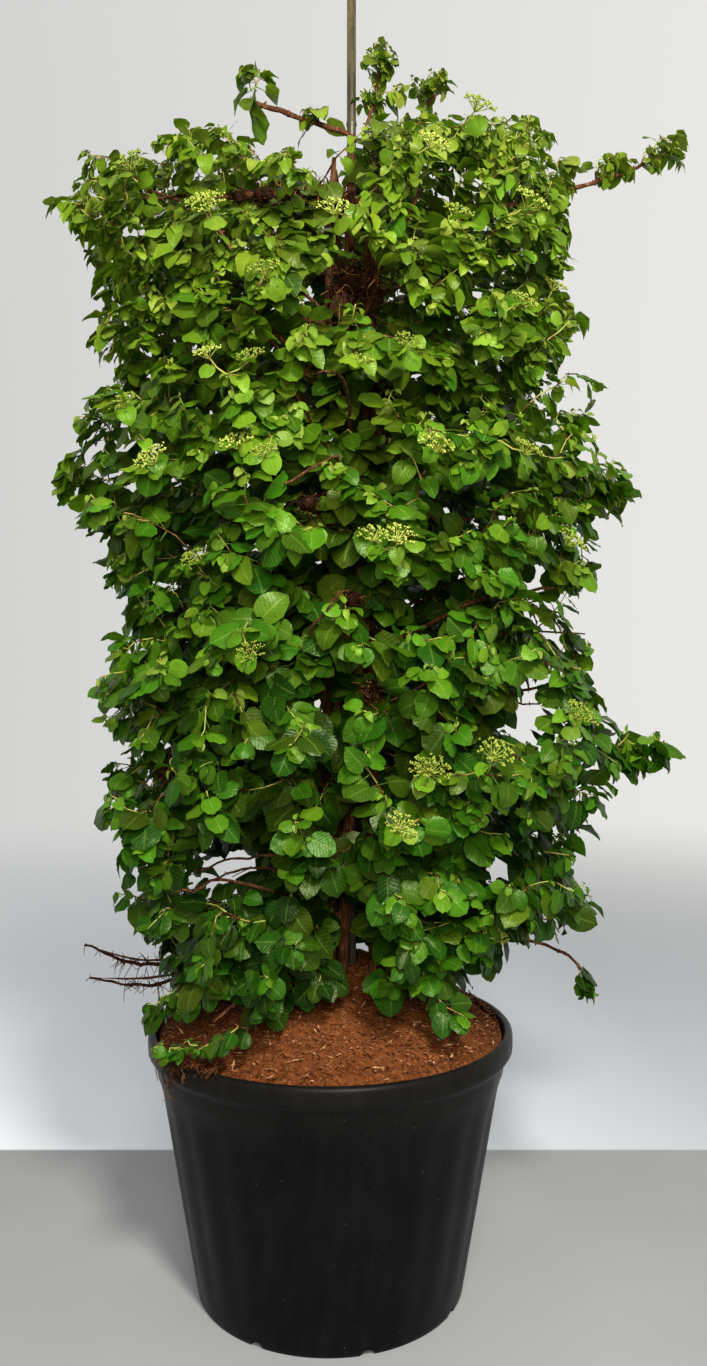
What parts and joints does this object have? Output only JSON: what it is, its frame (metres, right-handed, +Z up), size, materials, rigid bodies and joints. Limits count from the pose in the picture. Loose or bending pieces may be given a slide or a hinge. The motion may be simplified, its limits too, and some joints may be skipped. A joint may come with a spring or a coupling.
{
  "type": "potted climbing hydrangea",
  "caption": "Climbing hydrangea trained up a cane into a tall leafy column with yellow-green flower heads, in a round black plastic nursery pot filled with bark soil.",
  "frame": {"origin": "centre of the pot's base, on the surface that the pot stands on", "axes": "+Z up along the cane, -Y towards the front, +X to the right seen from the front"},
  "size_m": [1.1266, 0.8168, 2.4],
  "materials": {
    "pot_plastic": "satin",
    "soil": "matte",
    "cane": "satin",
    "bark": "matte",
    "foliage": "satin"
  },
  "bodies": {
    "root": {"pot": "pot_plastic", "soil": "soil", "cane": "cane", "woody_stem_1": "bark", "woody_stem_2": "bark", "woody_stem_3": "bark", "woody_stem_4": "bark", "woody_stem_5": "bark", "leafy_spray_01": "foliage", "leafy_spray_02": "foliage", "leafy_spray_03": "foliage", "leafy_spray_04": "foliage", "leafy_spray_05": "foliage", "leafy_spray_06": "foliage", "leafy_spray_07": "foliage", "leafy_spray_08": "foliage", "leafy_spray_09": "foliage", "leafy_spray_10": "foliage", "leafy_spray_11": "foliage", "leafy_spray_12": "foliage", "leafy_spray_13": "foliage", "leafy_spray_14": "foliage", "leafy_spray_15": "foliage", "leafy_spray_16": "foliage", "leafy_spray_17": "foliage", "leafy_spray_18": "foliage", "leafy_spray_19": "foliage", "leafy_spray_20": "foliage", "leafy_spray_21": "foliage", "leafy_spray_22": "foliage", "leafy_spray_23": "foliage", "leafy_spray_24": "foliage", "leafy_spray_25": "foliage", "leafy_spray_26": "foliage", "leafy_spray_27": "foliage", "leafy_spray_28": "foliage", "top_shoot": "foliage", "top_right_shoot": "foliage", "top_left_shoot": "foliage", "upper_left_shoot": "foliage", "long_right_shoot": "foliage", "middle_right_shoot": "foliage", "middle_left_shoot": "foliage", "low_right_shoot": "foliage", "arching_right_shoot": "foliage", "rim_shoot": "foliage"}
  },
  "joints": []
}
